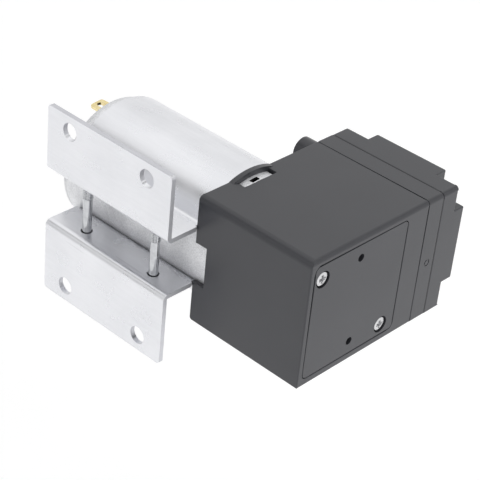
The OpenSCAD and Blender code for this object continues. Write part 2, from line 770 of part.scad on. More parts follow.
module corner_posts() {
    for (y = [room_near_y, mouth_far_y - post], z = [-room_half_h, room_half_h - post])
        block([wall_x1 - cut, y, z], [cover_x0, y + post, z + post]);
}

module crankcase() color(dark) difference() {
    union() {
        difference() {
            union() {
                body_box(body_near_y, seam1_y, body_half_h);
                bar_x(body_rear_x, body_rear_x + collar_t, collar_r);
            }
            block([body_rear_x - cut, body_near_y - collar_r, -2 * body_half_h],
                [body_rear_x + collar_t + cut, body_near_y, 2 * body_half_h]);
            for (z = [-1, 1]) translate([body_rear_x - cut, body_near_y, z * body_half_h])
                mirror([0, 0, z > 0 ? 1 : 0]) pull_x(0, body_front_x - body_rear_x + 2 * cut)
                    edge_waste(z > 0 ? near_edge_r : near_low_r);
            translate([body_front_x, body_near_y, -body_half_h - cut]) rotate([0, 0, 90])
                linear_extrude(2 * body_half_h + 2 * cut) edge_waste(front_low_r);
            translate([body_rear_x, body_near_y, -body_half_h - cut])
                linear_extrude(2 * body_half_h + 2 * cut) edge_waste(rear_edge_r);
            union() {
                block([wall_x1, room_near_y, -room_half_h], [cover_x0 + cut, mouth_far_y, room_half_h]);
                for (z = [-1, 1])
                    bar_x(wall_x1, cover_x0, motor_head_r + head_clear, z = z * motor_screw_pitch / 2);
            }
            block([wall_x1, mouth_far_y - cut, -rod_bay_half_h],
                [cover_x0 - rod_bay_wall, room_far_y, rod_bay_half_h]);
        }
        corner_posts();
    }
    bar_x(body_rear_x - cut, can_front_x, can_r + seat_gap);
    bar_x(can_front_x - cut, wall_x1 + cut, boss_d / 2 + seat_gap);
    for (z = [-1, 1]) {
        bar_x(can_front_x - cut, wall_x1 + cut, motor_screw_r + 0.4, z = z * motor_screw_pitch / 2);
        mirror([0, 0, z > 0 ? 0 : 1])
            block([body_rear_x + collar_t, axis_y - window_w / 2, can_r - window_depth],
                [can_front_x, axis_y + window_w / 2, collar_r + cut]);
    }
    block([body_rear_x - cut, body_near_y - cut, notch_mid_z - notch_h / 2],
        [can_front_x, body_near_y + notch_depth, notch_mid_z + notch_h / 2]);
    cover_recess(cover_gap, cut);
    for (at = cover_screws_at)
        bar_x(cover_x0 - cover_screw_len, cover_x0 + cut, cover_screw_d / 2 + seat_gap, y = at[0], z = at[1]);
    bar_y(body_mid_x, 0, room_far_y - cut, seam1_y + cut, chamber_r);
    bar_y(body_mid_x, 0, rim_y0, seam1_y + cut, diaphragm_r + seat_gap);
    for (x = head_screw_x, z = [-1, 1])
        bar_y(x, z * head_screw_z, head_corner_y - head_screw_len - 0.5, seam1_y + cut,
            head_screw_d / 2 + seat_gap);
}

// The cover's outline pulled along X, grown by a gap and lengthened past the front face
module cover_recess(gap, over) {
    r = cover_corner_r + gap;
    y0 = cover_near_y - gap;
    y1 = cover_far_y + gap;
    h = cover_half_h + gap;
    difference() {
        block([cover_x0, y0, -h], [body_front_x + over, y1, h]);
        for (y = [0, 1], z = [0, 1])
            translate([cover_x0, y > 0 ? y1 : y0, z > 0 ? h : -h]) mirror([0, y, 0]) mirror([0, 0, z])
                pull_x(-cut, cover_t + over + cut) edge_waste(r);
    }
}

module crankcase_cover() color(dark) difference() {
    cover_recess(0, 0);
    for (at = cover_screws_at) {
        bar_x(cover_x0 - cut, body_front_x, cover_screw_d / 2 + 0.1, y = at[0], z = at[1]);
        bar_x(body_front_x - cover_head_h - cover_head_sunk, body_front_x + cut, cover_bore_d / 2,
            y = at[0], z = at[1]);
    }
    for (z = [-1, 1])
        bar_x(body_front_x - blind_depth, body_front_x + cut, blind_hole_d / 2, y = blind_y, z = z * blind_z);
}

module cover_screws() color(silver) for (at = cover_screws_at) {
    seat = body_front_x - cover_head_h - cover_head_sunk;
    translate([seat, at[0], at[1]]) rotate([0, 90, 0]) cross_pan_head(cover_head_d / 2, cover_head_h, 0.55);
    bar_x(cover_x0 - cover_screw_len + 0.5, seat, cover_screw_d / 2, y = at[0], z = at[1]);
}

// Room for a flap: its pocket from the seat face to a given depth along Y
module flap_pocket(z, y0, y1) {
    block([flap_root_x - flap_slack, y0, z - flap_w / 2 - flap_slack],
        [flap_root_x + flap_len + flap_slack, y1, z + flap_w / 2 + flap_slack]);
}

module valve_block() color(dark) difference() {
    union() {
        body_box(seam1_y, seam1_y + seam_groove_w, block_low, seam_groove_depth);
        body_box(seam1_y + seam_groove_w, block_far_y, block_low);
    }
    bar_y(body_mid_x, 0, seam1_y - cut, chamber_roof_y, chamber_r);
    flap_pocket(-valve_z, chamber_roof_y - cut, inlet_seat_y);
    flap_pocket(valve_z, outlet_seat_y, block_far_y + cut);
    bar_y(body_mid_x, -valve_z, chamber_roof_y, block_far_y + cut, port_d / 2);
    bar_y(body_mid_x, valve_z, chamber_roof_y - cut, block_far_y + cut, port_d / 2);
    for (x = head_screw_x, z = [-1, 1])
        bar_y(x, z * head_screw_z, seam1_y - cut, block_far_y + cut, head_screw_d / 2 + 0.15);
    difference() {
        bar_x(body_front_x - 0.15, body_front_x + cut, 1.1, y = seam1_y + 3.4, z = -1.2);
        bar_x(body_front_x - 0.3, body_front_x + 2 * cut, 0.75, y = seam1_y + 3.4, z = -1.2);
    }
}

// The two air cells, suction below and pressure above, between two Y values
module air_cells(y0, y1) {
    for (side = [-1, 1]) mirror([0, 0, side > 0 ? 0 : 1])
        block([cell_x0, y0, cell_z0], [cell_x1, y1, cell_z1]);
}

module head_gasket() color(rubber) difference() {
    body_box(block_far_y, gasket_far_y, block_low, gasket_inset);
    air_cells(block_far_y - cut, gasket_far_y + cut);
    for (x = head_screw_x, z = [-1, 1])
        bar_y(x, z * head_screw_z, block_far_y - cut, gasket_far_y + cut, head_screw_d / 2 + 0.3);
}

module head_cover() color(dark) difference() {
    union() {
        body_box(gasket_far_y, head_corner_y, head_low);
        difference() {
            intersection() {
                body_box(head_corner_y - 1, head_cross_y, head_low);
                union() {
                    block([body_mid_x - cross_w / 2, head_corner_y - 1, -head_low - cut],
                        [body_mid_x + cross_w / 2, head_cross_y, body_half_h + cut]);
                    block([body_rear_x - cut, head_corner_y - 1, -cross_h / 2],
                        [body_front_x + cut, head_cross_y, cross_h / 2]);
                }
            }
            for (x = head_screw_x, z = [-1, 1])
                bar_y(x, z * head_screw_z, head_corner_y - 2, head_cross_y + cut, head_head_r + head_clear);
        }
        for (z = [-1, 1]) bar_x(nozzle_x0, body_rear_x + 1, nozzle_d / 2, y = nozzle_y, z = z * nozzle_z);
    }
    air_cells(gasket_far_y - cut, cell_far_y);
    for (z = [-1, 1]) bar_x(nozzle_x0 - cut, cell_x0 + 1, nozzle_bore_d / 2, y = nozzle_y, z = z * nozzle_z);
    for (x = head_screw_x, z = [-1, 1])
        bar_y(x, z * head_screw_z, gasket_far_y - cut, head_corner_y + cut, head_screw_d / 2 + 0.15);
}

module head_screws() color(steel) for (x = head_screw_x, z = [-1, 1]) {
    translate([x, head_corner_y, z * head_screw_z]) rotate([-90, 0, 0])
        cross_pan_head(head_head_r, head_head_h, 0.6);
    bar_y(x, z * head_screw_z, head_corner_y - head_screw_len, head_corner_y, head_screw_d / 2);
}

module flap(z, y0) {
    bar_y(flap_root_x + flap_len - flap_w / 2, z, y0, y0 + flap_t, flap_w / 2);
    block([flap_root_x, y0, z - flap_w / 2],
        [flap_root_x + flap_len - flap_w / 2, y0 + flap_t, z + flap_w / 2]);
}

module inlet_flap() color(rubber) flap(-valve_z, inlet_seat_y - valve_gap - flap_t);

module outlet_flap() color(rubber) flap(valve_z, outlet_seat_y + valve_gap);

clamp_band();
clamp_screws();
clamp_nuts();
motor_can();
motor_endcap();
terminals();
brushes();
brush_arms();
rear_bearing();
front_bearing();
magnets();
motor_mount_screws();
crankcase();
crankcase_cover();
cover_screws();
diaphragm();
valve_block();
head_gasket();
head_cover();
head_screws();
motor_shaft();
armature_core();
windings();
commutator();
shaft_washers();
eccentric();
eccentric_set_screw();
bearing_inner_ring();
bearing_balls();
connecting_rod();
bearing_outer_ring();
diaphragm_retainer();
retainer_screw();
inlet_flap();
outlet_flap();
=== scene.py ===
"""Mini diaphragm vacuum pump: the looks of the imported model.

Every length below is in millimetres unless a name says otherwise; MM turns it into metres.
"""
import json
import math

import bmesh
import bpy
import numpy as np
from mathutils import Matrix, Vector


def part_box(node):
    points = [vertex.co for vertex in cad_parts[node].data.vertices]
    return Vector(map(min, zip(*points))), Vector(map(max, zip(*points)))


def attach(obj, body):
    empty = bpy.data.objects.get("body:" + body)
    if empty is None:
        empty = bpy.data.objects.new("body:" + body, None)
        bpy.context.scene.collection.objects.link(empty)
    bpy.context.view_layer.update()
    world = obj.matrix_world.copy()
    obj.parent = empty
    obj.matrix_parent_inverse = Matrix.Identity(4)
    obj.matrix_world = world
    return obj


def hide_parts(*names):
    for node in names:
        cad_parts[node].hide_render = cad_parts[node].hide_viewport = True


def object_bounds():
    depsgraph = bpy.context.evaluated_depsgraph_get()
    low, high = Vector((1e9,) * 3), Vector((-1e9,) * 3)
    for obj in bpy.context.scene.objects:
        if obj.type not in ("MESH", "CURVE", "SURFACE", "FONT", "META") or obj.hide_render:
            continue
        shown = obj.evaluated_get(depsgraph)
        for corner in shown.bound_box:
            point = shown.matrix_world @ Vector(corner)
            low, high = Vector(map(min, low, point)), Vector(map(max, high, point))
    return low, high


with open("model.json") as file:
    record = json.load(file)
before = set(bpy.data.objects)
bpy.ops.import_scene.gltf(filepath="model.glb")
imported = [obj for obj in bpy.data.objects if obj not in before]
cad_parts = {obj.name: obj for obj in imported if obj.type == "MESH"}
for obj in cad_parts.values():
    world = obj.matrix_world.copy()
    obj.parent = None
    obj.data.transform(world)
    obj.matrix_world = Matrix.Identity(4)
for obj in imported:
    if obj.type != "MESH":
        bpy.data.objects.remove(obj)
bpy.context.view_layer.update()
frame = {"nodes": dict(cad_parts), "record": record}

MM = 0.001
NODES = frame["nodes"]
SLOT_OF = {part["node"]: part["material_slot"] for part in frame["record"]["subparts"]}
BODY_OF = {node: body for body, nodes in frame["record"]["behaviour"]["bodies"].items() for node in nodes}


# Frame values

def low(node):
    """Lowest corner of a node's box, in millimetres."""
    return np.array(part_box(node)[0]) / MM


def high(node):
    """Highest corner of a node's box, in millimetres."""
    return np.array(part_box(node)[1]) / MM


# The can's axis lies along X, at CAN_Y and at height 0

CAN_Y = (low("motor_can") + high("motor_can"))[1] / 2
CAN_R = (high("motor_can") - low("motor_can"))[2] / 2


# Camera, first of all because the view settles how much detail each piece needs

CAMERA_AT = Vector((266.0, -250.5, 240.1)) * MM
CAMERA_RIGHT = Vector((0.715, 0.694, 0.085))
CAMERA_UP = Vector((-0.433, 0.344, 0.833))
CAMERA_LENS = 121.1
CAMERA_SENSOR = 36
CAMERA_REACH_M = (0.01, 20)


def place_camera():
    """Camera whose columns are right, up and back, made square to each other."""
    right = CAMERA_RIGHT.normalized()
    back = right.cross(CAMERA_UP).normalized()
    up = back.cross(right)
    data = bpy.data.cameras.new("camera")
    data.lens = CAMERA_LENS
    data.sensor_width = CAMERA_SENSOR
    data.clip_start, data.clip_end = CAMERA_REACH_M
    camera = bpy.data.objects.new("camera", data)
    turn = Matrix((right, up, back)).transposed().to_4x4()
    camera.matrix_world = Matrix.Translation(CAMERA_AT) @ turn
    bpy.context.scene.collection.objects.link(camera)
    bpy.context.scene.camera = camera


place_camera()


# Shader parts

def new_material(name):
    """Empty node material, its tree and its Principled shader."""
    material = bpy.data.materials.new(name)
    material.use_nodes = True
    tree = material.node_tree
    return material, tree, tree.nodes["Principled BSDF"]


def add(tree, kind, **values):
    """Adds a shader node and sets its sockets or properties by name."""
    node = tree.nodes.new(kind)
    for key, value in values.items():
        socket = node.inputs.get(key.replace("_", " "))
        if socket is not None:
            socket.default_value = value
        else:
            setattr(node, key, value)
    return node


def feed(tree, source, socket):
    """Links a socket to source, or sets it where source is a number or a colour."""
    if hasattr(source, "node"):
        tree.links.new(source, socket)
    elif hasattr(source, "__len__"):
        socket.default_value = tuple(source) + (1,)
    else:
        socket.default_value = source


def axes(tree, kind):
    """X, Y and Z of a texture coordinate, such as Normal, or Object in metres."""
    place = add(tree, "ShaderNodeTexCoord")
    split = add(tree, "ShaderNodeSeparateXYZ")
    tree.links.new(place.outputs[kind], split.inputs["Vector"])
    return split.outputs


def scaled_place(tree, stretch=(1, 1, 1), shift=(0, 0, 0)):
    """Object coordinates in metres, multiplied by stretch along X, Y and Z, then moved by shift."""
    place = add(tree, "ShaderNodeTexCoord")
    turn = add(tree, "ShaderNodeMapping", Scale=stretch, Location=shift)
    tree.links.new(place.outputs["Object"], turn.inputs["Vector"])
    return turn.outputs["Vector"]


def grain(tree, per_metre, detail=3.0, stretch=(1, 1, 1)):
    """Smooth noise with about per_metre waves in a metre."""
    noise = add(tree, "ShaderNodeTexNoise", Scale=per_metre, Detail=detail)
    tree.links.new(scaled_place(tree, stretch), noise.inputs["Vector"])
    return noise.outputs["Fac"]


def flakes(tree, per_metre):
    """One random level for each crystal-like cell, with about per_metre cells in a metre."""
    cells = add(tree, "ShaderNodeTexVoronoi", Scale=per_metre)
    tree.links.new(scaled_place(tree), cells.inputs["Vector"])
    split = add(tree, "ShaderNodeSeparateColor")
    tree.links.new(cells.outputs["Color"], split.inputs["Color"])
    return split.outputs["Red"]


def ramp(tree, source, levels, ends):
    """Maps source between two levels onto two greys or colours, and keeps it between them."""
    node = add(tree, "ShaderNodeValToRGB")
    stops = node.color_ramp.elements
    stops[0].position, stops[1].position = levels
    for stop, value in zip(stops, ends):
        stop.color = tuple(value) + (1,) if hasattr(value, "__len__") else (value, value, value, 1)
    tree.links.new(source, node.inputs["Fac"])
    return node.outputs["Color"]


def blend_by(tree, mode, first, second, amount=1.0):
    """Mixes two colours; amount is a number or a socket."""
    mix = add(tree, "ShaderNodeMix", data_type="RGBA", blend_type=mode)
    for source, socket in ((amount, mix.inputs[0]), (first, mix.inputs[6]), (second, mix.inputs[7])):
        feed(tree, source, socket)
    return mix.outputs[2]


def combined(tree, operation, *sources):
    """One number from one or two others, each a socket or a plain number."""
    node = add(tree, "ShaderNodeMath", operation=operation)
    for source, socket in zip(sources, node.inputs):
        feed(tree, source, socket)
    return node.outputs[0]


def remapped(tree, source, levels, smooth=False):
    """Maps source from the first two levels to the last two, and keeps it between them."""
    node = add(tree, "ShaderNodeMapRange")
    if smooth:
        node.interpolation_type = "SMOOTHSTEP"
    for socket, value in zip(("From Min", "From Max", "To Min", "To Max"), levels):
        node.inputs[socket].default_value = value
    tree.links.new(source, node.inputs["Value"])
    return node.outputs["Result"]


def relief(tree, shader, source, height_mm, strength):
    """Small bumps from source, height_mm tall."""
    node = add(tree, "ShaderNodeBump", Strength=strength, Distance=height_mm * MM)
    tree.links.new(source, node.inputs["Height"])
    tree.links.new(node.outputs["Normal"], shader.inputs["Normal"])


# Masks that tell cut edges, and the insides and walls that get painted shade, from the skins

CUT_END_FACING = 0.75
FREE_EDGE_DEPTH = 0.12
INSIDE_DEPTH = 0.35
RIM_LENGTH = 2
SHEET_GAP = 0.02
WALL_FACING = 0.5


def sheared(tree):
    """1 on the sheet's cut edges, 0 on its rolled faces.

    The sheet is bent from one strip, so its cut ends face along X and the plates' free edges are
    the highest and lowest of all.
    """
    free_edge = (high("clamp_band")[2] - FREE_EDGE_DEPTH) * MM
    facing = combined(tree, "ABSOLUTE", axes(tree, "Normal")["X"])
    height = combined(tree, "ABSOLUTE", axes(tree, "Object")["Z"])
    return combined(tree, "MAXIMUM", combined(tree, "GREATER_THAN", facing, CUT_END_FACING),
                    combined(tree, "GREATER_THAN", height, free_edge))


def can_shade_mask(tree):
    """1 where painted shade goes, inside the can, in its vent slots and on the walls of the window sheet; 0
    on their skins.

    A point is inside where its radius is at least INSIDE_DEPTH less than the can's and it is past
    the rolled rear rim. A point clear of the can's skin is on a wall where its normal has little
    Z; the window sheet's underside lies SHEET_GAP above that skin.
    """
    length = add(tree, "ShaderNodeVectorMath", operation="LENGTH")
    tree.links.new(scaled_place(tree, (0, 1, 1), (0, -CAN_Y * MM, 0)), length.inputs[0])
    radius = length.outputs["Value"]
    rim_end = (low("motor_can")[0] + RIM_LENGTH) * MM
    deep = combined(tree, "LESS_THAN", radius, (CAN_R - INSIDE_DEPTH) * MM)
    past_rim = combined(tree, "GREATER_THAN", axes(tree, "Object")["X"], rim_end)
    raised = combined(tree, "GREATER_THAN", radius, (CAN_R + SHEET_GAP / 2) * MM)
    wall = combined(tree, "LESS_THAN", axes(tree, "Normal")["Z"], WALL_FACING)
    return combined(tree, "MAXIMUM", combined(tree, "MULTIPLY", deep, past_rim),
                    combined(tree, "MULTIPLY", raised, wall))


def behind_rear(tree, node):
    """Centimetres along X from a node's rear end, kept between 0 and 1."""
    rear = low(node)[0]
    return remapped(tree, axes(tree, "Object")["X"], (rear * MM, (rear + 10) * MM, 0, 1))


# Finishes; a noise mostly lies within FULL, and a ramp over CORE is a little steeper

FULL = (0.3, 0.7)
CORE = (0.35, 0.65)
SHEET_CLOUDS = ((0.790, 0.797, 0.825), (0.845, 0.850, 0.877))
CUT_EDGE_TINT = (0.84, 0.84, 0.85)
CUT_EDGE_ROUGH = (0.6, 0.6, 0.6)
CAN_FLECKS = ((0.78, 0.785, 0.805), (0.96, 0.965, 0.985))
# Painted shade, near black, for the can's inside, its vent slots and the window sheet's walls
CAN_PAINTED_SHADE = (0.02, 0.02, 0.021)
# Two bands of painted shade along the can's rolled rear rim, in centimetres from its rear end
RIM_EDGE_SHADE_CM = (0.012, 0.05)
RIM_STEP_SHADE_CM = (0.15, 0.19)
CASE_CLOUDS = ((0.040, 0.041, 0.0475), (0.0445, 0.0455, 0.0525))


def plated_sheet():
    """Zinc-plated sheet: cloudy grey, rolling marks along X, fine scratches and dull cut edges."""
    material, tree, shader = new_material("zinc sheet")
    shader.inputs["Metallic"].default_value = 1.0
    cloud = ramp(tree, grain(tree, 70), (0.35, 0.68), SHEET_CLOUDS)
    rolled = ramp(tree, grain(tree, 900, stretch=(0.12, 1, 1)), FULL, (0.965, 1.0))
    scratch = ramp(tree, grain(tree, 260, detail=1.0, stretch=(0.16, 3.2, 3.2)), (0.735, 0.76), (1.0, 0.90))
    colour = blend_by(tree, "MULTIPLY", blend_by(tree, "MULTIPLY", cloud, rolled), scratch)
    cut_edge = sheared(tree)
    colour = blend_by(tree, "MULTIPLY", colour, CUT_EDGE_TINT, cut_edge)
    tree.links.new(colour, shader.inputs["Base Color"])
    rough = ramp(tree, grain(tree, 140), FULL, (0.25, 0.35))
    rough = blend_by(tree, "MIX", rough, CUT_EDGE_ROUGH, cut_edge)
    tree.links.new(rough, shader.inputs["Roughness"])
    relief(tree, shader, grain(tree, 420, stretch=(0.4, 1, 1)), height_mm=0.015, strength=0.35)
    return material


def drawn_can():
    """Drawn motor can: dull plated steel with crystal flecks, painted shade in bands along the rolled rear
    rim, and painted shade inside the can and on the window sheet's walls.
    """
    material, tree, shader = new_material("motor steel")
    shader.inputs["Metallic"].default_value = 0.55
    fleck = ramp(tree, flakes(tree, 4200), (0.15, 0.95), CAN_FLECKS)
    patch = ramp(tree, grain(tree, 160), CORE, (0.92, 1.0))
    outside = blend_by(tree, "MULTIPLY", fleck, patch)
    from_rear = behind_rear(tree, "motor_can")
    # Painted shade of the rolled rear rim: a dark band right at the rear end, then a fainter one
    outside = blend_by(tree, "MULTIPLY", outside, ramp(tree, from_rear, RIM_EDGE_SHADE_CM, (0.55, 1.0)))
    outside = blend_by(tree, "MULTIPLY", outside, ramp(tree, from_rear, RIM_STEP_SHADE_CM, (0.9, 1.0)))
    # Painted shade inside the can, in its vent slots and on the window sheet's walls
    colour = blend_by(tree, "MIX", outside, CAN_PAINTED_SHADE, can_shade_mask(tree))
    tree.links.new(colour, shader.inputs["Base Color"])
    rough = ramp(tree, flakes(tree, 3000), (0.0, 1.0), (0.44, 0.60))
    tree.links.new(rough, shader.inputs["Roughness"])
    relief(tree, shader, grain(tree, 3600), height_mm=0.012, strength=0.4)
    return material


def metal(name, dark, light, rough, per_metre, stretch=(1, 1, 1), bumps=0.02):
    """Metal: a fine grain moves its colour, and a broad one its roughness by 15 percent."""
    material, tree, shader = new_material(name)
    shader.inputs["Metallic"].default_value = 1.0
    fine = grain(tree, per_metre, detail=4.0, stretch=stretch)
    cloud = grain(tree, 90.0, detail=2.0)
    tree.links.new(ramp(tree, fine, FULL, (dark, light)), shader.inputs["Base Color"])
    tree.links.new(ramp(tree, cloud, CORE, (rough * 0.85, rough * 1.15)), shader.inputs["Roughness"])
    relief(tree, shader, fine, bumps, strength=0.4)
    return material


def moulded(name, dark, light, rough, per_metre, bumps=0.012):
    """Moulded plastic or rubber: faint clouds, and a fine grain of 10 percent in its roughness."""
    material, tree, shader = new_material(name)
    fine = grain(tree, per_metre, detail=2.0)
    colour = ramp(tree, grain(tree, 60.0, detail=2.0), FULL, (dark, light))
    tree.links.new(colour, shader.inputs["Base Color"])
    tree.links.new(ramp(tree, fine, FULL, (rough * 0.9, rough * 1.1)), shader.inputs["Roughness"])
    relief(tree, shader, fine, bumps, strength=0.25)
    return material


FINISHES = {
    "zinc_sheet": plated_sheet(),
    "zinc_fastener": metal("zinc fastener", (0.52, 0.53, 0.55), (0.64, 0.65, 0.67), 0.13, 600, bumps=0.004),
    "bright_screw": metal("bright screw", (0.60, 0.60, 0.61), (0.70, 0.70, 0.71), 0.2, 600, bumps=0.006),
    "motor_steel": drawn_can(),
    "endcap_plastic": moulded("end cap plastic", (0.012, 0.012, 0.013), (0.018, 0.018, 0.02), 0.5, 3000),
    "terminal_brass": metal("terminal brass", (0.80, 0.66, 0.33), (0.90, 0.78, 0.45), 0.25, 900),
    "carbon": moulded("carbon", (0.02, 0.02, 0.02), (0.04, 0.04, 0.04), 0.6, 4000, 0.03),
    "bronze": metal("bronze", (0.45, 0.30, 0.13), (0.62, 0.43, 0.20), 0.35, 900),
    "ferrite": moulded("ferrite", (0.02, 0.02, 0.021), (0.035, 0.035, 0.037), 0.7, 3000, 0.03),
    "case_plastic": moulded("case plastic", *CASE_CLOUDS, 0.31, 2500, 0.004),
    "cover_plastic": moulded("cover plastic", *CASE_CLOUDS, 0.33, 2500, 0.004),
    "head_plastic": moulded("head plastic", *CASE_CLOUDS, 0.31, 2500, 0.004),
    "diaphragm_rubber": moulded("diaphragm rubber", (0.012, 0.012, 0.012), (0.016, 0.016, 0.016), 0.65, 2000),
    "gasket_rubber": moulded("gasket rubber", (0.026, 0.026, 0.029), (0.030, 0.030, 0.033), 0.6, 2000),
    "ground_steel": metal("ground steel", (0.50, 0.50, 0.52), (0.66, 0.66, 0.68), 0.2, 900, (0.2, 1, 1)),
    "core_steel": metal("core steel", (0.22, 0.22, 0.23), (0.38, 0.38, 0.40), 0.45, 400, (8, 1, 1)),
    "copper_wire": metal("copper wire", (0.48, 0.20, 0.09), (0.72, 0.36, 0.20), 0.3, 900),
    "washer_plastic": moulded("washer fibre", (0.06, 0.05, 0.04), (0.09, 0.08, 0.06), 0.6, 2500),
    "rod_aluminium": metal("rod aluminium", (0.60, 0.61, 0.62), (0.72, 0.73, 0.74), 0.38, 1200),
}


def give(piece, slot):
    """Gives a piece or CAD node the one finish of a material slot."""
    piece.data.materials.clear()
    piece.data.materials.append(FINISHES[slot])


for node_name, node_object in NODES.items():
    give(node_object, SLOT_OF[node_name])


# New pieces

def dress(piece, node):
    """The piece rides on a CAD node's body and takes its finish."""
    slot = SLOT_OF[node]
    give(piece, slot)
    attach(piece, BODY_OF[node])


def stand_for(piece, node):
    """The piece rides and looks like a CAD node and replaces it."""
    dress(piece, node)
    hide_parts(node)


def link_mesh(name, mesh):
    """Object at the origin that shows a mesh."""
    piece = bpy.data.objects.new(name, mesh)
    bpy.context.scene.collection.objects.link(piece)
    return piece


def mesh_piece(name, points, faces, smooth=True):
    """Object at the origin whose mesh has the given points, in millimetres, and faces."""
    mesh = bpy.data.meshes.new(name)
    mesh.from_pydata((np.asarray(points, float) * MM).tolist(), [], [list(face) for face in faces])
    mesh.polygons.foreach_set("use_smooth", [smooth] * len(mesh.polygons))
    mesh.update()
    return link_mesh(name, mesh)


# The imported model's own solids with their points merged and their long sharp edges rounded

EDGE_ROUNDING = {"clamp_band": 0.15, "crankcase": 0.25, "crankcase_cover": 0.15, "valve_block": 0.2,
                 "head_cover": 0.4}
LEAST_LENGTH = 1.4
SHARP_DEG = 35.0
ROUNDING_SEGMENTS = 2
SAME_POINT_M = 1e-6
LEAST_WEIGHT = 1e-12
LEAST_NORMAL = 1e-30


def steady_normals(piece):
    """Smooth shading that keeps large faces flat and sharp edges sharp.

    A corner's normal is the sum of area^2 n over the faces at its point whose normals n lie within
    SHARP_DEG of its own face's normal.
    """
    mesh = piece.data
    normals = np.empty(3 * len(mesh.polygons))
    areas = np.empty(len(mesh.polygons))
    mesh.polygons.foreach_get("normal", normals)
    mesh.polygons.foreach_get("area", areas)
    normals = normals.reshape(-1, 3)
    weights = (areas / areas.max()) ** 2 + LEAST_WEIGHT
    at_point = [[] for _ in mesh.vertices]
    for face in mesh.polygons:
        for point in face.vertices:
            at_point[point].append(face.index)
    least = math.cos(math.radians(SHARP_DEG))
    corners = []
    for face in mesh.polygons:
        for point in face.vertices:
            near = np.array(at_point[point])
            near = near[normals[near] @ normals[face.index] > least]
            total = weights[near] @ normals[near]
            corners.append(total / max(np.linalg.norm(total), LEAST_NORMAL))
    mesh.polygons.foreach_set("use_smooth", [True] * len(mesh.polygons))
    mesh.normals_split_custom_set([tuple(n) for n in corners])
    mesh.update()


def softened(node, width):
    """Piece with a CAD node's own shape whose long sharp edges are rounded; it replaces the node.

    An edge is rounded where it is straight for more than LEAST_LENGTH and its two faces meet at
    more than SHARP_DEG, so that bores, screw holes and arcs keep their size.
    """
    work = bmesh.new()
    work.from_mesh(NODES[node].data)
    bmesh.ops.remove_doubles(work, verts=work.verts, dist=SAME_POINT_M)
    sharp = [edge for edge in work.edges if len(edge.link_faces) == 2
             and edge.calc_length() > LEAST_LENGTH * MM
             and math.degrees(edge.calc_face_angle(0)) > SHARP_DEG]
    bmesh.ops.bevel(work, geom=sharp, offset=width * MM, offset_type="OFFSET", profile=0.5,
                    segments=ROUNDING_SEGMENTS, affect="EDGES", clamp_overlap=False)
    bmesh.ops.triangulate(work, faces=[face for face in work.faces if len(face.verts) > 4])
    mesh = bpy.data.meshes.new("soft_" + node)
    work.to_mesh(mesh)
    work.free()
    piece = link_mesh("soft_" + node, mesh)
    steady_normals(piece)
    stand_for(piece, node)


for node_name, width in EDGE_ROUNDING.items():
    softened(node_name, width)


# Fasteners as grids, columns round the axis; a screw's rows run from head to tip, a nut's round its section

AROUND = 72
ANGLES = np.linspace(0, 2 * np.pi, AROUND, endpoint=False)
TURNS = np.linspace(0, 1, AROUND, endpoint=False)
SHARP_ANGLE = math.radians(38)

# A head's rings, dome and recess in shares of its radius and height; the chamfer under it is a length

DOME_RINGS = np.linspace(0.02, 0.985, 34)
DOME_POWER = 2.4
DOME_SIDE = 0.91
UNDER_CHAMFER = 0.12
CROSS_REACH = 0.62
CROSS_INNER, CROSS_OUTER = 0.12, 0.24
CROSS_STEEPNESS = 2.2

# A screw's thread and tip; the groove is a share of the pitch, the tip shares of the radius

PITCH = 0.5
ROWS_PER_PITCH = 10
GROOVE = 0.27
END_TAPER = 0.3
THREAD_TIP, PLAIN_TIP = 0.8, 0.7

# A nut's size over its flats, its bore, the chamfer at the bore, and the share of the top left flat

NUT_FLATS = 5.5
NUT_BORE_R = 1.52
NUT_LEAD = 0.2
NUT_LAND = 0.96
NUT_CHAMFER = math.radians(30)


def rings(radii, heights):
    """Grid rows from radii and heights, each row one number or one number for each column."""
    rows = []
    for r, z in zip(radii, heights):
        r, z = np.broadcast_to(r, AROUND), np.broadcast_to(z, AROUND)
        rows.append(np.stack([r * np.cos(ANGLES), r * np.sin(ANGLES), z], axis=1))
    return np.array(rows)


def placed_grid(rows, at, axis, first, closed):
    """World points and faces of grid rows whose height runs along axis from at.

    A closed grid ends in a middle point at its first row's height and one at its last row's; an
    open one joins its last row to its first, as round a ring. Points are numbered from first.
    """
    axis = np.array(axis, float)
    side = np.array([1.0, 0, 0]) if abs(axis[0]) < 0.5 else np.array([0, 1.0, 0])
    basis = np.array([side, np.cross(axis, side), axis])
    n = len(rows)
    after = [(j + 1) % AROUND for j in range(AROUND)]
    faces = []
    for i in range(n - 1 if closed else n):
        a, b = first + i * AROUND, first + (i + 1) % n * AROUND
        faces += [(a + j, b + j, b + k, a + k) for j, k in enumerate(after)]
    points = rows.reshape(-1, 3)
    if closed:
        ends = np.array([[0, 0, rows[0, :, 2].mean()], [0, 0, rows[-1, :, 2].mean()]])
        points = np.vstack([points, ends])
        top, tip, low_row = first + n * AROUND, first + n * AROUND + 1, first + (n - 1) * AROUND
        for j, k in enumerate(after):
            faces += [(top, first + j, first + k), (tip, low_row + k, low_row + j)]
    return points @ basis + np.array(at, float), faces


def recess_depth(r, head_r, depth):
    """Depth of a Phillips cross at radius r for every column.

    With u and v the distances along and across the nearest arm, the depth is
    depth min(1, 2.2 (1 - (u / a)^2)) inside the arm, a = 0.62 head_r, and falls to nothing between
    0.12 and 0.24 head_r across it.
    """
    x, y = abs(r * np.cos(ANGLES)), abs(r * np.sin(ANGLES))
    u, v = np.maximum(x, y), np.minimum(x, y)
    along = np.clip(1 - (u / (CROSS_REACH * head_r)) ** 2, 0, 1)
    across = np.clip((CROSS_OUTER * head_r - v) / ((CROSS_OUTER - CROSS_INNER) * head_r), 0, 1)
    return depth * np.minimum(1, CROSS_STEEPNESS * along) * across


